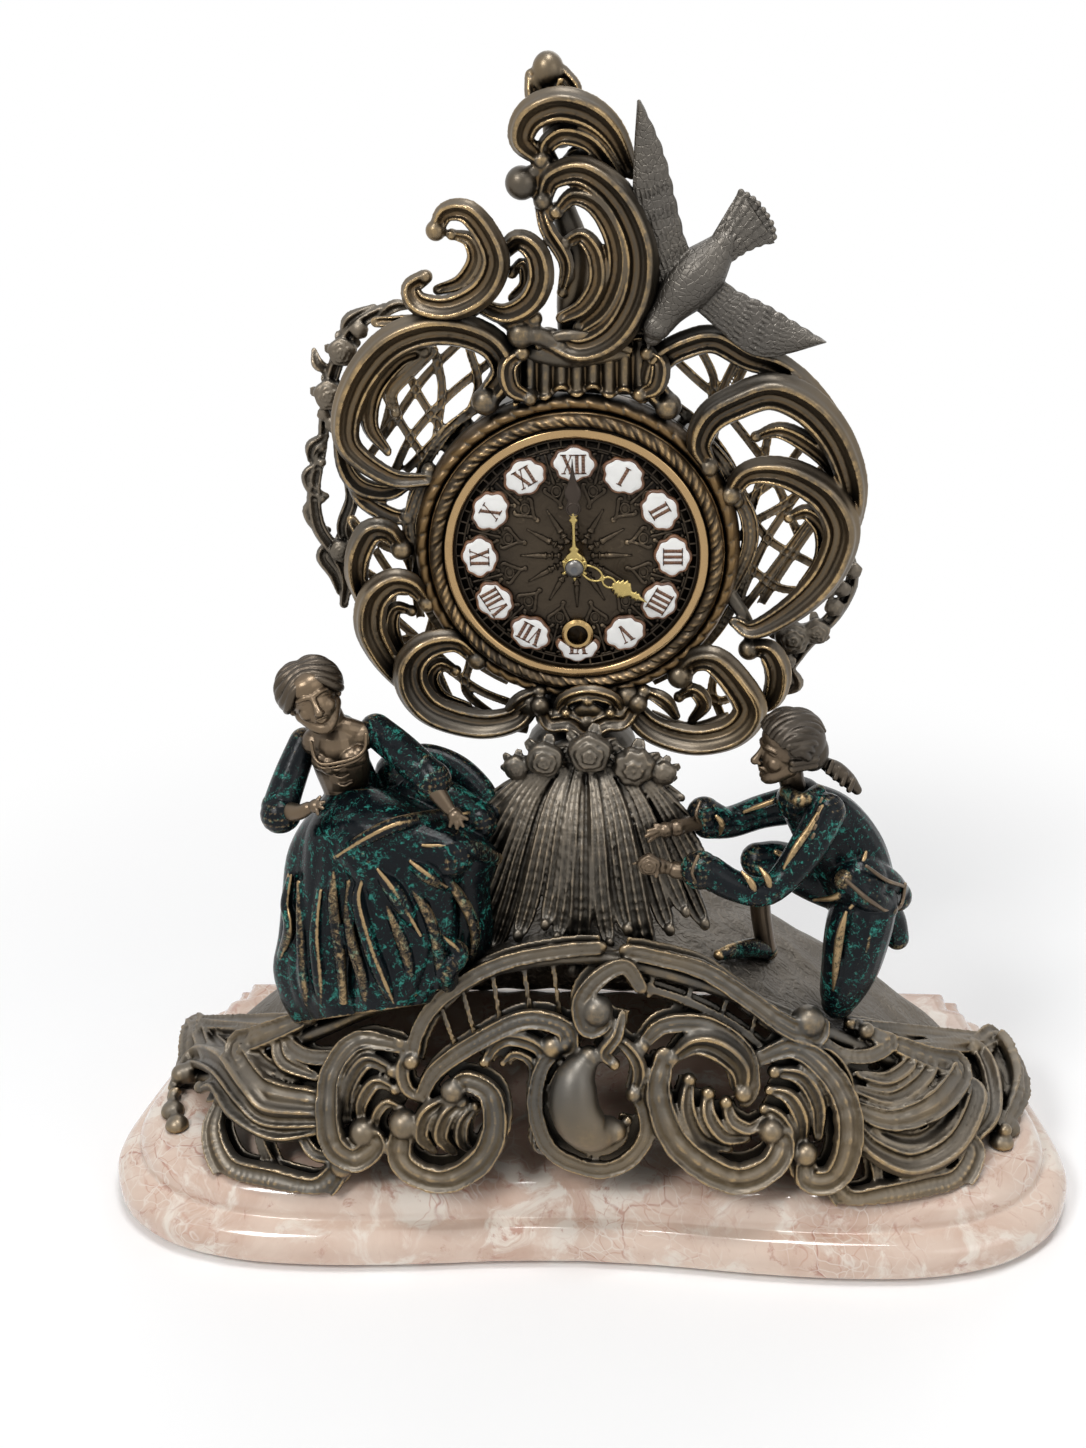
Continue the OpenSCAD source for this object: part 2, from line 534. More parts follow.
// Wing, crest and garland scrolls: across, up, back and radius, from the dial's centre, in
// shares of the ring's radius
left_scroll_shares = [
  [[-0.6, 1.08, 0.1, 0.12], [-0.48, 1.3, 0.1, 0.13], [-0.74, 1.47, 0.1, 0.14],
    [-1.1, 1.46, 0.1, 0.13], [-1.38, 1.2, 0.1, 0.11], [-1.52, 0.85, 0.1, 0.09],
    [-1.42, 0.58, 0.1, 0.07], [-1.1, 0.48, 0.1, 0.05]],
  [[-0.98, 1.36, 0.12, 0.08], [-1.2, 1.1, 0.12, 0.1], [-1.26, 0.72, 0.12, 0.06]],
  [[-1.62, 0.8, 0.15, 0.05], [-1.5, 0.5, 0.12, 0.09], [-1.24, 0.38, 0.1, 0.05]],
  [[-1.5, 0.4, 0.15, 0.06], [-1.34, 0.2, 0.12, 0.08], [-1.16, 0.18, 0.1, 0.06]],
  [[-1.22, -0.02, 0.08, 0.09], [-1.38, 0.1, 0.1, 0.1], [-1.52, -0.12, 0.1, 0.1],
    [-1.53, -0.42, 0.1, 0.06]],
  [[-1.08, -0.4, 0.08, 0.08], [-1.26, -0.26, 0.1, 0.1], [-1.45, -0.38, 0.1, 0.12],
    [-1.45, -0.68, 0.1, 0.12], [-1.3, -0.95, 0.1, 0.09], [-1.16, -1.16, 0.1, 0.06]],
  [[-0.76, -0.88, 0.06, 0.09], [-0.94, -0.74, 0.08, 0.1], [-1.16, -0.84, 0.1, 0.12],
    [-1.2, -1.05, 0.1, 0.12], [-1.02, -1.28, 0.1, 0.11], [-0.72, -1.36, 0.1, 0.09],
    [-0.4, -1.22, 0.1, 0.1]],
  [[-1.14, -0.04, 0.2, 0.06], [-1.18, 0.3, 0.2, 0.06], [-1.1, 0.6, 0.2, 0.06],
    [-0.86, 0.9, 0.2, 0.06]],
  [[-1.14, -0.1, 0.2, 0.06], [-1.1, -0.5, 0.2, 0.06], [-0.86, -0.86, 0.2, 0.06]]];
right_scroll_shares = [
  [[0.64, 1.02, 0.1, 0.12], [0.54, 1.2, 0.1, 0.12], [0.72, 1.38, 0.1, 0.13], [1.1, 1.28, 0.1, 0.1],
    [1.42, 1.14, 0.1, 0.1], [1.66, 0.9, 0.1, 0.1], [1.8, 0.64, 0.1, 0.09], [1.85, 0.36, 0.1, 0.06]],
  [[0.9, 0.6, 0.06, 0.08], [0.86, 0.76, 0.06, 0.1], [1.04, 0.98, 0.08, 0.12],
    [1.3, 1.04, 0.08, 0.13], [1.56, 0.9, 0.1, 0.13], [1.76, 0.62, 0.1, 0.12],
    [1.82, 0.3, 0.1, 0.1], [1.78, 0.02, 0.1, 0.06]],
  [[1.2, 0.77, 0.06, 0.06], [1.43, 0.74, 0.08, 0.08], [1.68, 0.52, 0.1, 0.05]],
  [[1.08, 0.4, 0.04, 0.09], [1.24, 0.5, 0.06, 0.1], [1.48, 0.46, 0.08, 0.12],
    [1.66, 0.34, 0.1, 0.12], [1.76, 0.06, 0.1, 0.12], [1.66, -0.26, 0.1, 0.11],
    [1.46, -0.5, 0.1, 0.1], [1.26, -0.62, 0.1, 0.08], [1.1, -0.6, 0.1, 0.05]],
  [[1.2, -0.8, 0.1, 0.1], [1.32, -0.98, 0.1, 0.1], [1.2, -1.24, 0.1, 0.06]],
  [[0.76, -0.96, 0.06, 0.1], [0.92, -0.86, 0.08, 0.11], [1.12, -1.08, 0.1, 0.12],
    [1.18, -1.28, 0.1, 0.12], [1.02, -1.44, 0.1, 0.12], [0.8, -1.48, 0.1, 0.1],
    [0.52, -1.36, 0.1, 0.09]],
  [[1.13, 0.2, 0.2, 0.06], [1.12, 0.5, 0.2, 0.06], [0.96, 0.8, 0.2, 0.06], [0.78, 0.98, 0.2, 0.06]],
  [[1.14, 0.1, 0.2, 0.06], [1.12, -0.4, 0.2, 0.06], [0.92, -0.86, 0.1, 0.08]]];
crest_scroll_shares = [
  [[-0.1, 3.1, 0, 0.1], [-0.2, 3.02, 0, 0.07], [-0.12, 2.92, 0, 0.08], [0.06, 2.84, 0, 0.09]],
  [[-0.16, 2.6, -0.02, 0.09], [-0.27, 2.7, -0.02, 0.1], [-0.16, 2.82, 0, 0.1], [0.08, 2.82, 0, 0.11],
    [0.28, 2.7, 0, 0.11], [0.42, 2.44, 0, 0.09], [0.48, 2.1, 0, 0.06]],
  [[-0.27, 2.44, 0, 0.09], [-0.14, 2.4, 0, 0.07], [-0.02, 2.5, 0, 0.05]],
  [[-0.16, 1.5, -0.04, 0.1], [0, 1.42, -0.04, 0.12], [0.2, 1.46, 0, 0.13], [0.36, 1.7, 0, 0.15],
    [0.41, 2, 0, 0.15], [0.34, 2.26, 0, 0.14], [0.14, 2.44, 0, 0.1], [-0.08, 2.44, 0, 0.07],
    [-0.15, 2.34, 0, 0.05]],
  [[0, 1.95, 0, 0.1], [0.12, 2.15, 0, 0.1], [0.2, 1.95, 0, 0.1], [0.12, 1.62, 0, 0.08]],
  [[-0.44, 2, 0, 0.08], [-0.3, 2.06, 0, 0.1], [-0.2, 1.94, 0, 0.11], [-0.22, 1.76, 0, 0.11],
    [-0.34, 1.66, 0, 0.09], [-0.58, 1.68, 0, 0.06]],
  [[-0.34, 1.52, 0, 0.1], [-0.42, 1.44, 0.04, 0.08], [-0.56, 1.5, 0.06, 0.06]],
  [[-0.84, 2.18, 0, 0.08], [-0.7, 2.26, 0, 0.08], [-0.54, 2.14, 0, 0.1], [-0.48, 1.94, 0, 0.11],
    [-0.58, 1.76, 0, 0.11], [-0.8, 1.68, 0, 0.1], [-1, 1.74, 0, 0.09], [-0.93, 1.86, 0, 0.06]],
  [[-0.02, 2.1, 0.1, 0.1], [0.1, 1.75, 0.15, 0.12], [0.05, 1.4, 0.2, 0.12], [0, 1.12, 0.28, 0.12]],
  [[0.62, 1.72, -0.04, 0.07], [0.46, 1.7, 0, 0.08], [0.34, 1.66, 0, 0.08]]];
garland_scroll_shares = [
  [[-1.04, 1.62, 0.2, 0.05], [-1.29, 1.62, 0.2, 0.09], [-1.5, 1.4, 0.2, 0.12], [-1.62, 1.1, 0.2, 0.13],
    [-1.66, 0.8, 0.2, 0.12], [-1.78, 0.44, 0.2, 0.1], [-1.8, 0.16, 0.2, 0.11],
    [-1.64, -0.06, 0.2, 0.12], [-1.66, -0.4, 0.2, 0.05]],
  [[1.87, -0.16, 0.2, 0.05], [1.8, -0.32, 0.2, 0.09], [1.66, -0.6, 0.2, 0.12],
    [1.5, -0.76, 0.2, 0.13], [1.42, -0.98, 0.2, 0.06]]];
garland_rose_shares = [[-1.5, 1.36, 0.14], [-1.62, 1.07, 0.14], [-1.7, 0.72, 0.11], [-1.62, 0.88, 0.09],
  [-1.64, -0.03, 0.14], [1.49, -0.68, 0.15], [1.64, -0.62, 0.12], [1.45, -0.93, 0.1]];
ornament_y = dial_y + 7;
function ring_path(table) = [for (p = table)
  [p[0] * ring_r, ornament_y + p[2] * ring_r, dial_z + p[1] * ring_r, p[3] * ring_r]];
// Lattice between a wing's scrolls and the case: angle at the case and at its outer end, and
// the outer end's distance as a share of the ring's radius
lattice_y = drum_y + 0.06 * ring_r;
lattice_bar = 0.03 * ring_r;
left_lattice_shares = [[118, 132, 1.75], [130, 120, 1.6], [142, 128, 1.65], [130, 146, 1.65],
  [150, 138, 1.7], [208, 200, 1.5], [200, 214, 1.55], [232, 222, 1.5], [226, 240, 1.5]];
right_lattice_shares = [[52, 40, 1.6], [40, 52, 1.6], [18, 4, 1.75], [4, 18, 1.75], [-14, -2, 1.7],
  [-2, -14, 1.7], [-22, -10, 1.65], [30, 16, 1.7], [-50, -60, 1.5]];
module lattice(table) {
  for (bar = table) let (near = polar(0.98 * flange_r, bar[0]), far = polar(bar[2] * ring_r, bar[1]))
    sweep([[near.x, lattice_y, dial_z + near.y, lattice_bar],
      [far.x, lattice_y, dial_z + far.y, lattice_bar]], [0, 1, 0], 1);
}

module left_wing() {
  color(old_brass) difference() {
    union() {
      for (table = left_scroll_shares) scroll(ring_path(table));
      lattice(left_lattice_shares);
    }
    case_room();
    crest_room();
  }
}
module right_wing() {
  color(old_brass) difference() {
    union() {
      for (table = right_scroll_shares) scroll(ring_path(table));
      lattice(right_lattice_shares);
    }
    case_room();
    mounts_room();
  }
}
// Space that the crest's lower scrolls and the drapery fill
module crest_room() {
  translate([-0.46 * ring_r - seam, ornament_y - ring_r, dial_z + ring_r])
    cube([ring_r, 2 * ring_r, ring_r]);
  translate([-1.2 * ring_r, ornament_y - ring_r, dial_z + 1.56 * ring_r - seam])
    cube([ring_r, 2 * ring_r, ring_r]);
}
module mounts_room() {
  translate([-ring_r + 0.5 * ring_r + seam, ornament_y - ring_r, dial_z + ring_r])
    cube([ring_r, 2 * ring_r, ring_r / 2]);
}
module crest() {
  color(old_brass) difference() {
    for (table = crest_scroll_shares) scroll(ring_path(table));
    case_room();
    drapery_room();
    translate([-2 * ring_r, ornament_y - ring_r, dial_z + ring_r])
      cube([2 * ring_r - 0.46 * ring_r, 2 * ring_r, 0.56 * ring_r]);
  }
}
module drapery_room() {
  translate([-0.46 * ring_r, ornament_y - ring_r, dial_z + ring_r - over])
    cube([0.96 * ring_r, ring_r + drum_y - ornament_y, 0.4 * ring_r + over]);
}
drapery_flutes = 7;
drapery_t = 6;
mask_shares = [[-0.2, -1.14, 0.07], [-0.08, -1.24, 0.09], [0.05, -1.26, 0.12], [0.18, -1.24, 0.09],
  [0.3, -1.14, 0.07], [-0.14, -1.36, 0.07], [0.05, -1.42, 0.09], [0.24, -1.36, 0.07]];
module case_mounts() {
  color(old_brass) difference() {
    union() {
      for (i = [0:drapery_flutes - 1]) let (x = between(-0.4, 0.44, i / (drapery_flutes - 1))
        * ring_r)
        hull() {
          translate([x, flange_y - drapery_t / 2, dial_z + 0.9 * ring_r])
            sphere(r = 0.075 * ring_r, $fn = 6);
          translate([0.8 * x, flange_y, dial_z + 1.34 * ring_r])
            sphere(r = 0.065 * ring_r, $fn = 6);
        }
      translate([-0.36 * ring_r, flange_y - drapery_t / 2, dial_z + 0.9 * ring_r])
        cube([0.76 * ring_r, drapery_t, 0.44 * ring_r]);
      for (m = mask_shares) hull() for (d = [0, drapery_t])
        translate([m.x * ring_r, flange_y - d / 2, dial_z + m.y * ring_r])
          sphere(r = m[2] * ring_r, $fn = 8);
      translate([-0.14 * ring_r, flange_y - drapery_t / 2, dial_z - 1.36 * ring_r])
        cube([0.38 * ring_r, drapery_t, 0.4 * ring_r]);
    }
    case_room();
    translate([-ring_r, -ring_r, dial_z + 1.4 * ring_r - seam]) cube([2 * ring_r, 3 * ring_r, ring_r]);
    shell_front_room();
  }
}
// Space of the shell's flowers under the mask
module shell_front_room() {
  for (f = shell_flower_shares) translate([f.x * ring_r, shell_y, shell_top_z + f.y * ring_r])
    sphere(r = f[2] * ring_r + 3 * seam, $fn = 12);
}
module rose_garlands() {
  color(old_brass) difference() {
    union() {
      for (table = garland_scroll_shares) scroll(ring_path(table), flat = 0.7);
      for (rose = garland_rose_shares) let (r = rose[2] * ring_r)
        hull() for (d = [0, r]) translate([rose.x * ring_r, ornament_y + 0.24 * ring_r - d / 2,
          dial_z + rose.y * ring_r]) sphere(r = r - d / 3, $fn = 8);
    }
    case_room();
  }
}

// Dove: body, wings and tail from hulls; places across, up, back and radius in ring shares
dove_y = dial_y - 0.08 * ring_r;
dove_body_shares = [[0.53, 1.5, -0.1, 0.03], [0.57, 1.58, -0.04, 0.09], [0.68, 1.66, 0, 0.13],
  [0.82, 1.78, 0, 0.17], [0.9, 1.9, 0.02, 0.12], [1, 2.02, 0.04, 0.07]];
dove_wing_shares = [
  [[0.7, 1.8, 0.02, 0.06], [0.45, 2.2, -0.02, 0.04], [0.62, 2.1, 0.02, 0.04]],
  [[0.45, 2.2, -0.02, 0.04], [0.62, 2.1, 0.02, 0.04], [0.44, 2.86, -0.06, 0.02]],
  [[0.9, 1.66, 0, 0.07], [1.22, 1.62, 0, 0.04], [1.2, 1.42, -0.04, 0.03]],
  [[1.22, 1.62, 0, 0.04], [1.2, 1.42, -0.04, 0.03], [1.56, 1.46, -0.02, 0.02]],
  [[0.96, 1.98, 0.03, 0.06], [1.06, 2.34, 0.06, 0.03], [1.24, 2.2, 0.06, 0.03], [1.22, 2.1, 0.05, 0.03]],
  [[0.72, 1.8, 0, 0.08], [0.9, 1.66, 0, 0.08], [0.66, 1.96, 0, 0.05]],
  [[0.9, 1.66, 0, 0.07], [1.0, 1.84, 0, 0.06], [1.22, 1.62, 0, 0.04]]];
module dove() {
  color(pewter) difference() {
    union() {
      for (i = [0:len(dove_body_shares) - 2]) hull() for (p = [dove_body_shares[i],
        dove_body_shares[i + 1]]) translate([p.x * ring_r, dove_y + p[2] * ring_r,
          dial_z + p.y * ring_r]) sphere(r = p[3] * ring_r, $fn = 12);
      for (wing = dove_wing_shares) hull() for (p = wing) translate([p.x * ring_r,
        dove_y + p[2] * ring_r, dial_z + p.y * ring_r]) sphere(r = p[3] * ring_r, $fn = 8);
    }
    for (table = crest_scroll_shares) scroll([for (p = ring_path(table))
      [p[0], p[1], p[2], p[3] + seam]]);
  }
}
dove_stud_r = 1.5;
dove_stud_at = [0.6 * ring_r, 1.71 * ring_r];
module dove_stud() {
  color(steel) rod_y(dove_stud_at, dove_stud_r, dove_y, ornament_y);
}

// Ornate ring round the dial
dial_lip = 4.5;
lip_r = dial_r + dial_lip;
ring_beads = 48;
// Profile as shares: out from the lip to the ring's edge, back from its face to the flange
bezel_shares = [[0, 1], [0, 0.5], [0.15, 0.17], [0.4, 0], [0.7, 0.09], [1, 0.45], [1, 1]];
pit_depth = 0.4;
module bezel_ring() {
  color(brass) difference() {
    turned([for (p = bezel_shares) [between(lip_r + seam, ring_r, p.x), between(dial_y, flange_y,
      p.y)]]);
    for (i = [0:ring_beads - 1]) rotate_dial(360 * i / ring_beads)
      translate([0, dial_y + pit_depth, dial_z + between(lip_r, ring_r, 0.86)])
        rotate([90, 0, 0]) cylinder(r = 0.13 * (ring_r - lip_r), h = 2 * over, $fn = 16);
  }
}
// Turns what it holds round the dial's axis
module rotate_dial(angle) {
  translate([0, 0, dial_z]) rotate([0, angle, 0]) translate([0, 0, -dial_z]) children();
}

// Dial
dial_t = 1.5;
minute_ticks = 60;
tick_t = 0.5;
spike_count = 12;
spike_shares = [[0.15, -0.02], [0.26, -0.01], [0.45, 0], [0.26, 0.01], [0.15, 0.02]];
track_w = 1.2;
tick_l = 2.6;
lip_depth = 6;
collar_r = 7;
collar_bore = 4.75;
collar_lip = 1;
collar_front = 3;
foot_r = 2;
foot_screw_r = 1;
foot_angles = [15, 160, 240];
foot_place_r = 45;
pipe_r = 2.2;
pipe_wall = 1;
hour_pipe_r = pipe_r + running + pipe_wall;
module dial_plate() {
  color(bronze) difference() {
    union() {
      turned([[0, dial_y], [dial_r, dial_y], [lip_r, dial_y + lip_depth], [lip_r, flange_y],
        [lip_r - dial_t, flange_y], [lip_r - dial_t, dial_y + lip_depth + tick_t],
        [dial_r - dial_t, dial_y + dial_t], [0, dial_y + dial_t]]);
      turned([[dial_r - track_w, dial_y - tick_t], [dial_r, dial_y - tick_t],
        [dial_r, dial_y + tick_t], [dial_r - track_w, dial_y + tick_t]]);
      for (i = [0:minute_ticks - 1]) plate_y(dial_y + tick_t, 2 * tick_t)
        rotate(360 * i / minute_ticks)
        translate([dial_r - track_w / 2 - tick_l, -tick_t / 2]) square([tick_l, tick_t]);
      for (i = [0:spike_count - 1]) plate_y(dial_y + tick_t, 2 * tick_t)
        rotate(360 * i / spike_count) polygon(dial_r * spike_shares);
    }
    rod_y([0, 0], hour_pipe_r + gap, dial_y - over - tick_t, dial_y + dial_t + over);
    rod_y([0, -winding_drop], collar_r - collar_lip, dial_y - over - tick_t, dial_y + dial_t + over);
  }
}
// Plaques: a scalloped outline whose radius swells and dips round it
plaque_points = 32;
plaque_wave = 0.05;
module plaque_outline() {
  polygon([for (i = [0:plaque_points - 1]) let (a = 360 * i / plaque_points,
    s = 1 + plaque_wave * cos(4 * a + 45) + plaque_wave * cos(8 * a))
    [s * plaque_w / 2 * signed_power(cos(a), 0.85), s * plaque_h / 2 * signed_power(sin(a), 0.85)]]);
}
module numeral_plaques() {
  color("#f2efe6") difference() {
    for (i = [1:12]) plate_y(dial_y - tick_t / 2, plaque_t) rotate(-30 * i) translate([0, numeral_r])
      plaque_outline();
    rod_y([0, -winding_drop], collar_r + seam, dial_y - 4 * plaque_t, dial_y + over);
  }
}
// Numerals: strokes of I, V and X, spaced along the plaque
numeral_h = 0.56 * plaque_h;
stroke_w = 0.09 * plaque_h;
stroke_t = 0.2;
numeral_strokes = ["I", "II", "III", "IIII", "V", "VI", "VII", "VIII", "IX", "X", "XI", "XII"];
function stroke_pitch(letter) = letter == "I" ? 2.2 * stroke_w : 4.4 * stroke_w;
function letters_width(s, n) = n == 0 ? 0 : stroke_pitch(s[n - 1]) + letters_width(s, n - 1);
module stroke(x0, x1) {
  polygon([[x0 - stroke_w / 2, numeral_h / 2], [x0 + stroke_w / 2, numeral_h / 2],
    [x1 + stroke_w / 2, -numeral_h / 2], [x1 - stroke_w / 2, -numeral_h / 2]]);
}
module letter_shape(letter) {
  reach = 1.4 * stroke_w;
  if (letter == "I") stroke(0, 0);
  if (letter == "V") {
    stroke(-reach, 0);
    stroke(reach, 0);
  }
  if (letter == "X") {
    stroke(-reach, reach);
    stroke(reach, -reach);
  }
}
module roman_numerals() {
  color("#5b3a24") difference() {
    for (i = [1:12]) let (s = numeral_strokes[i - 1], w = letters_width(s, len(s)))
      plate_y(dial_y - tick_t / 2 - plaque_t, stroke_t) rotate(-30 * i) translate([0, numeral_r])
        for (k = [0:len(s) - 1]) translate([letters_width(s, k) + stroke_pitch(s[k]) / 2 - w / 2,
          0])
          letter_shape(s[k]);
    rod_y([0, -winding_drop], collar_r + seam, dial_y - 4 * plaque_t, dial_y + over);
  }
}
module winding_collar() {
  color(brass) translate([0, 0, -winding_drop]) turned([[collar_bore, dial_y - collar_front],
    [collar_r - collar_lip, dial_y - collar_front], [collar_r, dial_y - collar_front + collar_lip],
    [collar_r, dial_y], [collar_r - collar_lip, dial_y], [collar_r - collar_lip, dial_y + dial_t],
    [collar_bore, dial_y + dial_t]]);
}
module dial_feet() {
  color(brass) for (a = foot_angles) {
    rod_y(polar(foot_place_r, a), foot_r, dial_y + dial_t, flange_y);
    rod_y(polar(foot_place_r, a), foot_screw_r, flange_y, flange_y + plate_t + 1.5 * foot_screw_r);
  }
}

// Gear train: teeth and module of each pair, wheel first
great_teeth = 60;
great_pinion = 10;
great_module = 0.6;
inter_teeth = 60;
centre_pinion = 12;
inter_module = 0.5;
centre_teeth = 72;
third_pinion = 9;
centre_module = 0.45;
third_teeth = 60;
fourth_pinion = 8;
third_module = 0.4;
fourth_teeth = 60;
escape_pinion = 6;
fourth_module = 0.36;
cannon_teeth = 12;
minute_teeth = 36;
minute_module = 0.5;
minute_pinion = 10;
hour_teeth = 40;
hour_module = minute_module * (cannon_teeth + minute_teeth) / (minute_pinion + hour_teeth);
pressure = 28;
addendum_share = 0.68;
dedendum_share = 1;
play_share = 0.16;
gear_play = 0.05;

function mesh_distance(a, b, size) = (a + b) * size / 2;
function involute(angle) = tan(angle) * 180 / PI - angle;
function flank_angle(teeth, size, r) = let (pitch = teeth * size / 2, base = pitch * cos(pressure),
  at = acos(min(1, base / max(r, base))))
  90 / teeth - play_share * size / pitch * 90 / PI + involute(pressure) - involute(at);
function gear_outline(teeth, size, steps) = let (pitch = teeth * size / 2,
  low = pitch - dedendum_share * size, high = pitch + addendum_share * size)
  [for (i = [0:teeth - 1], side = [-1, 1], s = [0:steps]) let (t = side < 0 ? s / steps : 1 - s / steps,
    r = between(low, high, t)) polar(r, 360 * i / teeth + side * flank_angle(teeth, size, r))];
function root_radius(teeth, size) = teeth * size / 2 - dedendum_share * size;
// Wheel with a rim, a hub and round openings between spokes
spokes = 5;
module wheel_outline(teeth, size, hub, steps = 1) {
  inner = root_radius(teeth, size) - 1.2 * size;
  opening = min((inner - hub) / 2, (inner + hub) / 2 * sin(180 / spokes) - size);
  difference() {
    polygon(gear_outline(teeth, size, steps));
    for (k = [0:spokes - 1]) rotate(360 * k / spokes) translate([(inner + hub) / 2, 0])
      circle(r = opening, $fn = 24);
  }
}
module pinion_outline(teeth, size) {
  polygon(gear_outline(teeth, size, 3));
}

// Places of the arbors, across and up from the dial's centre
winding_at = [0, -winding_drop];
great_distance = mesh_distance(great_teeth, great_pinion, great_module);
inter_distance = mesh_distance(inter_teeth, centre_pinion, inter_module);
inter_up = -(winding_drop * winding_drop + inter_distance * inter_distance
  - great_distance * great_distance) / (2 * winding_drop);
inter_at = [-sqrt(inter_distance * inter_distance - inter_up * inter_up), inter_up];
third_at = polar(mesh_distance(centre_teeth, third_pinion, centre_module), 110);
fourth_at = third_at + polar(mesh_distance(third_teeth, fourth_pinion, third_module), 20);
escape_at = fourth_at + polar(mesh_distance(fourth_teeth, escape_pinion, fourth_module) + gear_play, -12);
minute_at = polar(mesh_distance(cannon_teeth, minute_teeth, minute_module), 60);
escape_r = 6;
lever_reach = 3.6;
lever_at = escape_at + polar(escape_r + lever_reach, -30);
balance_reach = 10;
balance_at = lever_at + polar(balance_reach, -60);
function heading(from, to) = atan2(to.y - from.y, to.x - from.x);
function tooth_gap(angle, teeth) = angle + 180 + 180 / teeth;

// Depths in the movement, front to back
front_plate_y = flange_y;
inside_y = front_plate_y + plate_t;
back_plate_y = inside_y + plate_gap;
behind_y = back_plate_y + plate_t;
end_play = 0.2;
inter_rise = 1;
great_rise = 3.4;
centre_rise = 7;
third_rise = 10.5;
fourth_rise = 14;
escape_rise = 16.6;
inter_y = inside_y + inter_rise;
great_y = inside_y + great_rise;
centre_y = inside_y + centre_rise;
third_y = inside_y + third_rise;
fourth_y = inside_y + fourth_rise;
escape_y = inside_y + escape_rise;
wheel_t = 1.2;
great_t = 1.6;
pinion_over = 0.6;
escape_t = 0.7;

// Arbor with a shoulder inside each plate and a pivot in each
module arbor(place) {
  rod_y(place, arbor_r, inside_y + end_play, back_plate_y - end_play);
  rod_y(place, pivot_r, front_plate_y, inside_y + end_play);
  rod_y(place, pivot_r, back_plate_y - end_play, behind_y);
}
module wheel_on_arbor(place, teeth, size, turn, front, thick) {
  plate_y(front + thick, thick, place) rotate(turn) wheel_outline(teeth, size, 2.5 * arbor_r);
}
module pinion_on_arbor(place, teeth, size, turn, front, thick) {
  plate_y(front + thick + pinion_over, thick + 2 * pinion_over, place) rotate(turn)
    pinion_outline(teeth, size);
}

arbor_places = [inter_at, third_at, fourth_at, escape_at, lever_at];
pillar_angles = [45, 135, 215, 325];
pillar_place_r = plate_r - 7;
pillar_r = 3;
pillar_screw_r = 1.2;
pillar_screw_l = 5;
centre_arbor_r = 1.5;
barrel_pivot_r = 3;
minute_post_r = 1;
window_r = 2.4;
// Holes of one radius through a movement plate
module holes(places, radius, front) {
  for (p = places) rod_y(p, radius, front - over, front + plate_t + over);
}
module front_plate() {
  color(brass) difference() {
    union() {
      rod_y([0, 0], plate_r, front_plate_y, inside_y);
      rod_y(minute_at, minute_post_r, dial_y + dial_t + 2 * gap, inside_y);
    }
    holes(concat(arbor_places, [balance_at]), pivot_r + running, front_plate_y);
    holes([[0, 0]], centre_arbor_r + running, front_plate_y);
    holes([winding_at], barrel_pivot_r + running, front_plate_y);
    holes([for (a = pillar_angles) polar(pillar_place_r, a)], pillar_screw_r, front_plate_y);
    holes([for (a = foot_angles) polar(foot_place_r, a)], foot_screw_r, front_plate_y);
    holes([for (a = lug_angles) polar(lug_hole_r, a)], lug_screw_r, front_plate_y);
  }
}
module back_plate() {
  color(brass) difference() {
    rod_y([0, 0], plate_r - 1, back_plate_y, behind_y);
    holes(arbor_places, pivot_r + running, back_plate_y);
    holes([balance_at], window_r, back_plate_y);
    holes([[0, 0]], centre_arbor_r / 1.5 + running, back_plate_y);
    holes([winding_at], barrel_pivot_r + running, back_plate_y);
    holes([for (a = pillar_angles) polar(pillar_place_r, a)], pillar_screw_r, back_plate_y);
    holes([cock_foot], cock_screw_r, back_plate_y);
    holes([click_at], click_screw_r, back_plate_y);
  }
}
module plate_pillars() {
  color(brass) for (a = pillar_angles) difference() {
    rod_y(polar(pillar_place_r, a), pillar_r, inside_y, back_plate_y);
    rod_y(polar(pillar_place_r, a), pillar_screw_r, inside_y - over, inside_y + pillar_screw_l);
    rod_y(polar(pillar_place_r, a), pillar_screw_r, back_plate_y - pillar_screw_l, back_plate_y + over);
  }
}
screw_head_t = 1.4;
module pillar_screws() {
  color(steel) for (a = pillar_angles) {
    place = polar(pillar_place_r, a);
    rod_y(place, pillar_screw_r, front_plate_y, inside_y + pillar_screw_l);
    rod_y(place, 2 * pillar_screw_r, front_plate_y - screw_head_t, front_plate_y);
    rod_y(place, pillar_screw_r, back_plate_y - pillar_screw_l, behind_y);
    rod_y(place, 2 * pillar_screw_r, behind_y, behind_y + screw_head_t);
  }
}
module movement_screws() {
  color(steel) for (a = lug_angles) {
    rod_y(polar(lug_hole_r, a), lug_screw_r, front_plate_y, lug_y + lug_t);
    rod_y(polar(lug_hole_r, a), 1.8 * lug_screw_r, lug_y + lug_t, lug_y + lug_t + screw_head_t);
  }
}

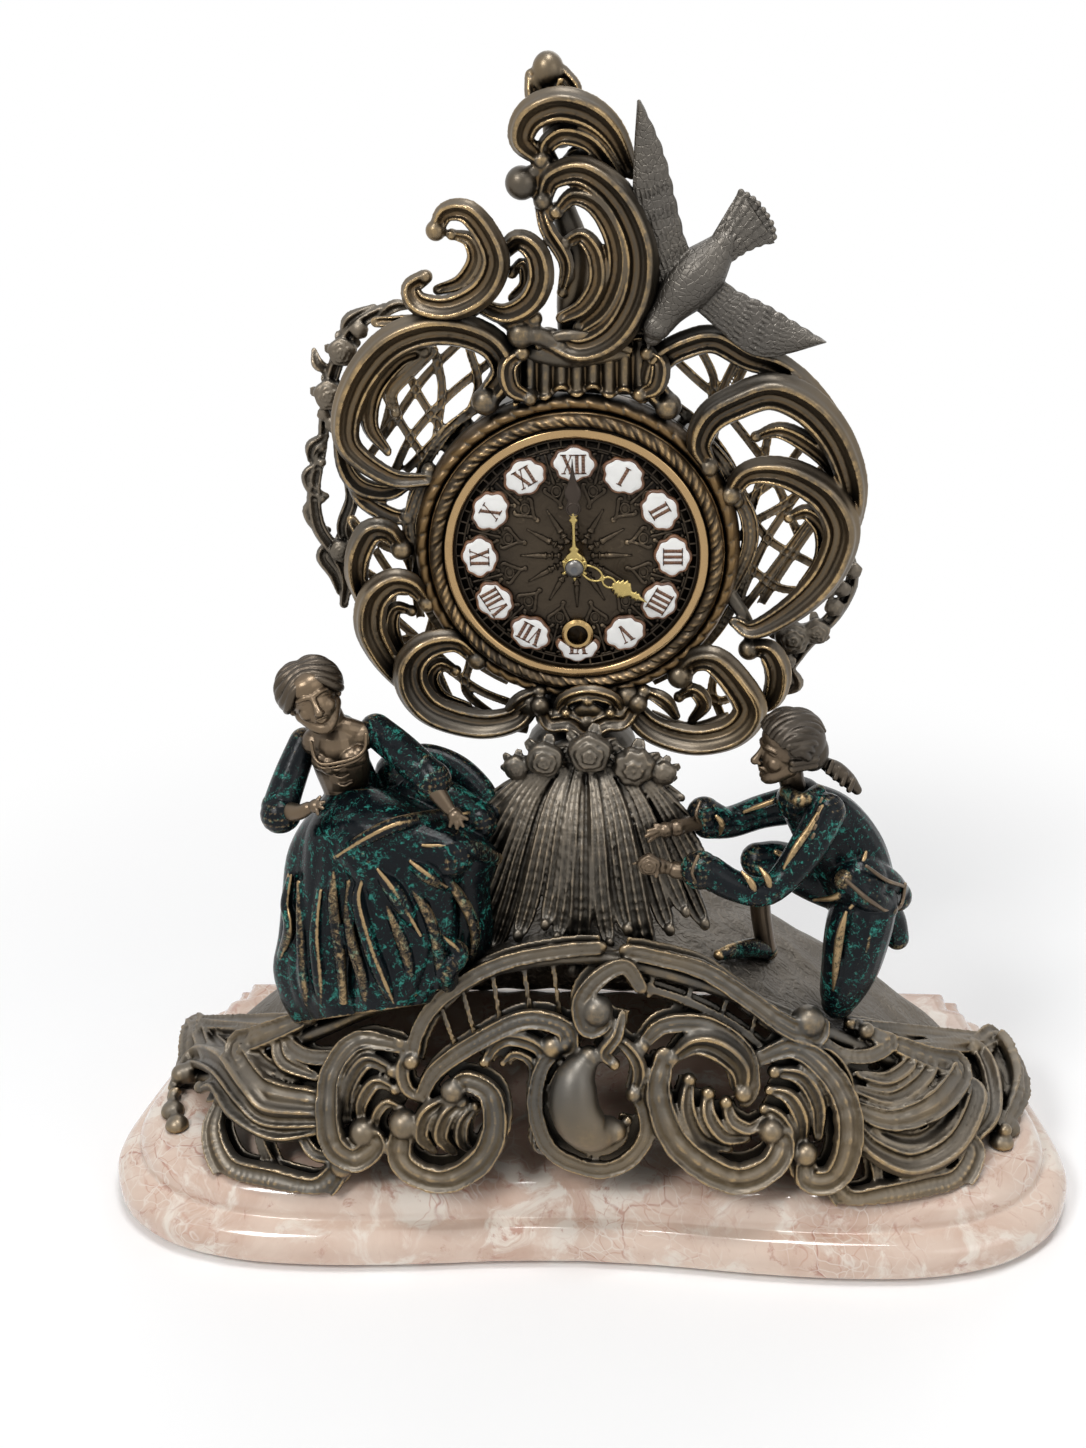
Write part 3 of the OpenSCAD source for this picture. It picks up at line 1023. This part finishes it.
// Balance, its cock and the regulator
cock_y = behind_y + 7;
cock_t = 1.8;
cock_w = 5;
cock_foot = [balance_at.x + 2.2 * balance_r, balance_at.y - 0.3 * balance_r];
cock_screw_r = 1;
balance_y = behind_y + 1.6;
balance_t = 1.4;
balance_rim = 1.4;
roller_gap = 0.5;
roller_t = 0.8;
staff_r = 0.7;
stud_post_r = 0.8;
spring_turns = 6;
spring_in = 1.4;
spring_out = 6;
spring_w = 0.25;
spring_h = 0.6;
spring_y = balance_y + balance_t + 1;
index_turn = 90;
boss_r = 2.6;
index_t = 0.7;
module balance_cock() {
  post = balance_at + polar(spring_out, cock_turn);
  color(brass) difference() {
    union() {
      plate_y(cock_y + cock_t, cock_t, balance_at) rotate(cock_turn) translate([0, -cock_w / 2])
        square([norm(cock_foot - balance_at) + cock_w / 2, cock_w]);
      rod_y(balance_at, 0.62 * cock_w, cock_y, cock_y + cock_t);
      rod_y(cock_foot, cock_w / 2, behind_y, cock_y + cock_t);
      rod_y(post, stud_post_r, spring_y - spring_h, cock_y);
    }
    rod_y(balance_at, pivot_r + running, cock_y - over, cock_y + cock_t + over);
    rod_y(cock_foot, cock_screw_r, behind_y - over, cock_y + cock_t + over);
  }
}
cock_turn = heading(balance_at, cock_foot);
module cock_screws() {
  color(steel) {
    rod_y(cock_foot, cock_screw_r, back_plate_y, cock_y + cock_t);
    rod_y(cock_foot, 1.9 * cock_screw_r, cock_y + cock_t, cock_y + cock_t + screw_head_t);
  }
}
module index_lever() {
  color(steel) plate_y(cock_y + cock_t + gap + index_t, index_t, balance_at) difference() {
    union() {
      circle(r = boss_r);
      rotate(cock_turn + index_turn) translate([0, -boss_r / 4]) square([balance_r, boss_r / 2]);
    }
    circle(r = pivot_r + 2 * running);
  }
}
function spiral(r0, r1, turns, steps) = [for (i = [0:steps]) polar(between(r0, r1, i / steps),
  360 * turns * i / steps)];
module coil_outline(r0, r1, turns, width, steps) {
  polygon(concat(spiral(r0 - width / 2, r1 - width / 2, turns, steps),
    [for (i = [steps:-1:0]) polar(between(r0, r1, i / steps) + width / 2, 360 * turns * i / steps)]));
}
module hairspring() {
  color("#43506b") plate_y(spring_y, spring_h, balance_at) rotate(cock_turn) difference() {
    coil_outline(spring_in, spring_out - stud_post_r - spring_w / 2, spring_turns, spring_w,
      13 * spring_turns);
  }
}
roller_r = 1.8;
jewel_r = 0.35;
roller_y = escape_y + escape_t + roller_gap;
module balance_wheel() {
  color(brass) {
    rod_y(balance_at, staff_r, inside_y + end_play, cock_y - end_play);
    rod_y(balance_at, pivot_r, front_plate_y, inside_y + end_play);
    rod_y(balance_at, pivot_r, cock_y - end_play, cock_y + cock_t + gap + index_t + end_play);
    plate_y(balance_y + balance_t, balance_t, balance_at) difference() {
      circle(r = balance_r);
      difference() {
        circle(r = balance_r - balance_rim);
        circle(r = 1.8 * staff_r);
        square([2 * balance_r, balance_rim], center = true);
      }
    }
    rod_y(balance_at, roller_r, roller_y, roller_y + roller_t);
    rod_y(balance_at + polar(roller_r - jewel_r, heading(balance_at, lever_at)), jewel_r, escape_y,
      roller_y + roller_t);
  }
}

// Going train
module centre_arbor() {
  color(steel) {
    rod_y([0, 0], centre_arbor_r, hand_tip_y, back_plate_y - end_play);
    rod_y([0, 0], centre_arbor_r / 1.5, back_plate_y - end_play, behind_y);
    pinion_on_arbor([0, 0], centre_pinion, inter_module, tooth_gap(heading(inter_at, [0, 0]),
      centre_pinion),
      inter_y, wheel_t);
  }
}
module centre_wheel() {
  color(brass) difference() {
    wheel_on_arbor([0, 0], centre_teeth, centre_module, heading([0, 0], third_at), centre_y, wheel_t);
    rod_y([0, 0], centre_arbor_r, centre_y - over, centre_y + wheel_t + over);
  }
}
module intermediate_wheel() {
  color(brass) {
    arbor(inter_at);
    wheel_on_arbor(inter_at, inter_teeth, inter_module, heading(inter_at, [0, 0]), inter_y, wheel_t);
    pinion_on_arbor(inter_at, great_pinion, great_module, tooth_gap(heading(winding_at, inter_at),
      great_pinion),
      great_y, great_t);
  }
}
module third_wheel() {
  color(brass) {
    arbor(third_at);
    wheel_on_arbor(third_at, third_teeth, third_module, heading(third_at, fourth_at), third_y, wheel_t);
    pinion_on_arbor(third_at, third_pinion, centre_module, tooth_gap(heading([0, 0], third_at),
      third_pinion),
      centre_y, wheel_t);
  }
}
module fourth_wheel() {
  color(brass) {
    arbor(fourth_at);
    wheel_on_arbor(fourth_at, fourth_teeth, fourth_module, heading(fourth_at, escape_at), fourth_y,
      wheel_t);
    pinion_on_arbor(fourth_at, fourth_pinion, third_module, tooth_gap(heading(third_at, fourth_at),
      fourth_pinion),
      third_y, wheel_t);
  }
}
escape_teeth = 15;
module escape_wheel() {
  color(brass) {
    arbor(escape_at);
    pinion_on_arbor(escape_at, escape_pinion, fourth_module, tooth_gap(heading(fourth_at, escape_at),
      escape_pinion),
      fourth_y, wheel_t);
    plate_y(escape_y + escape_t, escape_t, escape_at) difference() {
      polygon([for (i = [0:escape_teeth - 1]) let (a = 360 * i / escape_teeth) each
        [polar(0.72 * escape_r, a), polar(0.97 * escape_r, a + 10), polar(escape_r, a + 15),
          polar(0.8 * escape_r, a + 15)]]);
      for (k = [0:3]) rotate(90 * k) translate([0.42 * escape_r, 0]) circle(r = 0.17 * escape_r,
        $fn = 24);
    }
  }
}
pallet_span = 45;
module pallet_lever() {
  inward = heading(lever_at, escape_at);
  color(steel) {
    arbor(lever_at);
    plate_y(escape_y + escape_t, escape_t, lever_at) {
      circle(r = 1.6 * arbor_r);
      for (side = [-1, 1]) rotate(inward) pallet_arm(side);
      rotate(heading(lever_at, balance_at)) fork_shape();
    }
  }
}
module pallet_arm(side) {
  tip = escape_arm_tip(side);
  polygon([[0, side * arbor_r], [0, -side * arbor_r], tip + [gap, 0], tip + [-gap, side * arbor_r]]);
}
function escape_arm_tip(side) = [lever_reach + escape_r, 0] + (escape_r + 3 * gap)
  * [-cos(pallet_span), side * sin(pallet_span)];
fork_l = balance_reach - roller_r - gap;
fork_w = 0.6;
module fork_shape() {
  difference() {
    polygon([[0, -fork_w], [fork_l - 2 * fork_w, -fork_w], [fork_l, -2 * fork_w],
      [fork_l, 2 * fork_w], [fork_l - 2 * fork_w, fork_w], [0, fork_w]]);
    translate([fork_l - fork_w, -jewel_r - seam]) square([fork_w + over, 2 * (jewel_r + seam)]);
  }
}

// Barrel, its arbor, spring and click work
barrel_r = great_teeth * great_module / 2 - 1.4;
barrel_wall = 1;
barrel_back = back_plate_y - 1.2;
cap_t = 1;
module barrel() {
  color(brass) difference() {
    union() {
      plate_y(great_y + great_t, great_t, winding_at)
        rotate(heading(winding_at, inter_at)) polygon(gear_outline(great_teeth, great_module, 1));
      rod_y(winding_at, barrel_r, great_y + great_t, barrel_back);
    }
    rod_y(winding_at, barrel_r - barrel_wall, great_y + great_t, barrel_back + over);
    rod_y(winding_at, barrel_pivot_r + running, great_y - over, great_y + great_t + over);
  }
}
module barrel_cap() {
  color(brass) difference() {
    rod_y(winding_at, barrel_r - barrel_wall, barrel_back - cap_t, barrel_back);
    rod_y(winding_at, barrel_pivot_r + running, barrel_back - cap_t - over, barrel_back + over);
  }
}
mainspring_turns = 11;
mainspring_t = 0.5;
module mainspring() {
  inner = 2 * barrel_pivot_r;
  color("#43506b") plate_y(barrel_back - cap_t - end_play,
    barrel_back - cap_t - great_y - great_t - 2 * end_play,
    winding_at) coil_outline(inner, barrel_r - barrel_wall - mainspring_t / 2, mainspring_turns,
      mainspring_t,
    15 * mainspring_turns);
}
square_front = dial_y + 2.6;
ratchet_y = behind_y + 0.3;
ratchet_t = 1.6;
ratchet_teeth = 24;
ratchet_r = 10;
module barrel_arbor() {
  color(steel) {
    rod_y(winding_at, barrel_pivot_r, front_plate_y, ratchet_y);
    rod_y(winding_at, 1.4 * barrel_pivot_r, great_y + great_t + end_play,
      barrel_back - cap_t - end_play);
    plate_y(front_plate_y, front_plate_y - square_front, winding_at) square(square_w, center = true);
    plate_y(ratchet_y + ratchet_t + over, ratchet_t + over, winding_at) square(square_w, center = true);
  }
}
module ratchet_wheel() {
  color(steel) plate_y(ratchet_y + ratchet_t, ratchet_t, winding_at) difference() {
    polygon([for (i = [0:ratchet_teeth - 1]) let (a = 360 * i / ratchet_teeth) each
      [polar(ratchet_r, a), polar(0.88 * ratchet_r, a + 1)]]);
    square(square_w, center = true);
  }
}
click_at = winding_at + polar(ratchet_r + 5, 60);
click_screw_r = 1;
click_t = 1.4;
click_l = 8;
click_hub_r = 2.4;
click_tip = 0.8;
click_turn = heading(click_at, winding_at) + 50;
module click() {
  color(steel) plate_y(ratchet_y + click_t, click_t, click_at) difference() {
    union() {
      circle(r = click_hub_r);
      rotate(click_turn) polygon([[0, -click_hub_r], [click_l, -click_tip], [click_l, click_tip],
        [0, click_hub_r]]);
    }
    circle(r = click_screw_r + running);
  }
}
module click_screw() {
  color(steel) {
    rod_y(click_at, click_screw_r, back_plate_y, ratchet_y + click_t + gap);
    rod_y(click_at, 2 * click_screw_r, ratchet_y + click_t + gap,
      ratchet_y + click_t + gap + screw_head_t);
  }
}
module click_spring() {
  color("#43506b") plate_y(ratchet_y + click_t, ratchet_y + click_t - behind_y, click_at) {
    rotate(click_turn) translate([-1.2 * click_hub_r, click_hub_r + 1.6 * click_tip])
      circle(r = 1.3 * click_tip);
    rotate(click_turn) translate([-1.2 * click_hub_r, click_hub_r + click_tip]) square([click_l,
      click_tip]);
  }
}

// Motion works and hands
cannon_y = front_plate_y - 3.6;
motion_t = 1.1;
hour_gear_y = dial_y + dial_t + 1;
minute_hand_out = 13.6;
minute_hand_y = dial_y - minute_hand_out;
minute_hand_t = 0.8;
hour_hand_out = 9.8;
hour_hand_y = dial_y - hour_hand_out;
hour_hand_t = 0.9;
hour_turn = -30;
nut_step = 2;
nut_tip = 1;
cannon_face = 2.4;
motion_gap = 0.6;
hand_front = minute_hand_y - minute_hand_t;
arbor_out = 3.2;
hand_tip_y = hand_front - arbor_out;
module cannon_pinion() {
  color(steel) difference() {
    union() {
      rod_y([0, 0], pipe_r, hand_front, front_plate_y - gap);
      plate_y(cannon_y + cannon_face, cannon_face) rotate(heading([0, 0], minute_at))
        pinion_outline(cannon_teeth, minute_module);
    }
    rod_y([0, 0], centre_arbor_r, hand_front - over, front_plate_y + over);
  }
}
module minute_wheel() {
  color(brass) difference() {
    union() {
      plate_y(cannon_y + motion_t + motion_gap, motion_t, minute_at)
        rotate(tooth_gap(heading([0, 0], minute_at), minute_teeth))
          polygon(gear_outline(minute_teeth, minute_module, 1));
      plate_y(cannon_y + motion_t, cannon_y + motion_t - hour_gear_y + motion_gap, minute_at)
        rotate(heading(minute_at, [0, 0])) pinion_outline(minute_pinion, hour_module);
    }
    rod_y(minute_at, minute_post_r + running, hour_gear_y - motion_gap - over, front_plate_y);
  }
}
module hour_wheel() {
  color(brass) difference() {
    union() {
      plate_y(hour_gear_y + motion_t, motion_t) rotate(tooth_gap(heading(minute_at, [0, 0]),
        hour_teeth))
        polygon(gear_outline(hour_teeth, hour_module, 1));
      rod_y([0, 0], hour_pipe_r, hour_hand_y - hour_hand_t, hour_gear_y + motion_t);
    }
    rod_y([0, 0], pipe_r + running, hour_hand_y - hour_hand_t - over, hour_gear_y + motion_t + over);
  }
}
// Hands: half outlines as shares of the hand's length, along and across
minute_hand_shares = [[0.05, 0.045], [0.1, 0.05], [0.2, 0.025], [0.34, 0.025], [0.42, 0.06], [0.5, 0.03],
  [0.55, 0.06], [0.62, 0.105], [0.68, 0.11], [0.74, 0.07], [0.84, 0.03], [1, 0.008]];
hour_hand_shares = [[0.094, 0.08], [0.12, 0.08], [0.22, 0.04], [0.32, 0.1], [0.42, 0.13], [0.5, 0.04],
  [0.58, 0.12], [0.68, 0.15], [0.74, 0.06], [0.82, 0.12], [0.9, 0.06], [1, 0.01]];
module hand_outline(table, length) {
  polygon(concat([for (p = table) [p.x * length, p.y * length]],
    [for (i = [len(table) - 1:-1:0]) [table[i].x * length, -table[i].y * length]]));
}
module minute_hand() {
  color(bronze) difference() {
    union() {
      plate_y(minute_hand_y, minute_hand_t) rotate(90) hand_outline(minute_hand_shares, minute_l);
      rod_y([0, 0], 1.6 * pipe_r, hand_front, minute_hand_y);
    }
    rod_y([0, 0], pipe_r, hand_front - over, minute_hand_y + over);
    rod_y([0, 0.42 * minute_l], 0.03 * minute_l, hand_front - over, minute_hand_y + over);
  }
}
module hour_hand() {
  front = hour_hand_y - hour_hand_t;
  color(brass) difference() {
    union() {
      plate_y(hour_hand_y, hour_hand_t) rotate(hour_turn) hand_outline(hour_hand_shares, hour_l);
      rod_y([0, 0], 1.4 * hour_pipe_r, front, hour_hand_y);
    }
    rod_y([0, 0], hour_pipe_r, front - over, hour_hand_y + over);
    for (s = [0.38, 0.64]) rod_y(polar(s * hour_l, hour_turn), 0.06 * hour_l, front - over,
      hour_hand_y + over);
  }
}
module hand_nut() {
  color(steel) difference() {
    union() {
      rod_y([0, 0], 1.8 * pipe_r, hand_front - nut_step, hand_front);
      rod_y([0, 0], 1.3 * pipe_r, hand_front - nut_step - nut_tip, hand_front - nut_step);
    }
    rod_y([0, 0], centre_arbor_r, hand_tip_y - over, minute_hand_y);
  }
}

marble_base();
felt_pads();
base_casting();
base_skirt();
base_studs();
base_washers();
base_nuts();
shell_pedestal();
pedestal_rod();
pedestal_nut();
lady_figure();
gentleman_figure();
figure_studs();
case_drum();
left_wing();
right_wing();
crest();
case_mounts();
rose_garlands();
dove();
dove_stud();
bezel_ring();
dial_plate();
numeral_plaques();
roman_numerals();
winding_collar();
dial_feet();
front_plate();
back_plate();
plate_pillars();
pillar_screws();
movement_screws();
back_cover();
cover_screws();
balance_cock();
cock_screws();
click_spring();
click_screw();
hairspring();
centre_arbor();
centre_wheel();
cannon_pinion();
minute_hand();
hand_nut();
hour_wheel();
hour_hand();
minute_wheel();
barrel();
barrel_cap();
mainspring();
barrel_arbor();
ratchet_wheel();
click();
intermediate_wheel();
third_wheel();
fourth_wheel();
escape_wheel();
pallet_lever();
balance_wheel();
index_lever();
